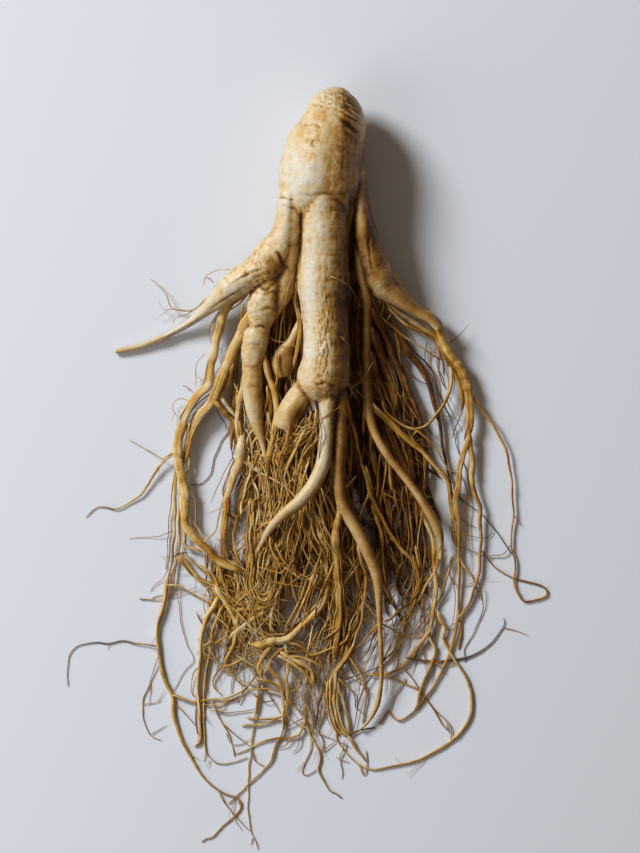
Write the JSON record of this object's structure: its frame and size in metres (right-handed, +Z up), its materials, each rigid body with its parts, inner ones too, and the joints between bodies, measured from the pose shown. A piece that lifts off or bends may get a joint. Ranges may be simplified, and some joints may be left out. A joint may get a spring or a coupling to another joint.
{
  "type": "ginseng root",
  "caption": "Whole fresh ginseng root lying flat: stout head, three legs, side roots and a wide fan of long thin rootlets.",
  "frame": {"origin": "on the surface that the root lies on, under the middle of its bounding box", "axes": "+Y along the root towards the crown, +X across it, to the right as seen from above with the crown away from the viewer, +Z up from the surface it lies on"},
  "size_m": [0.193, 0.3058, 0.0326],
  "materials": {
    "root_skin": "dry matt root skin, cream on the head to ochre on the rootlets"
  },
  "bodies": {
    "root": {"ginseng_root": "root_skin"}
  },
  "joints": []
}
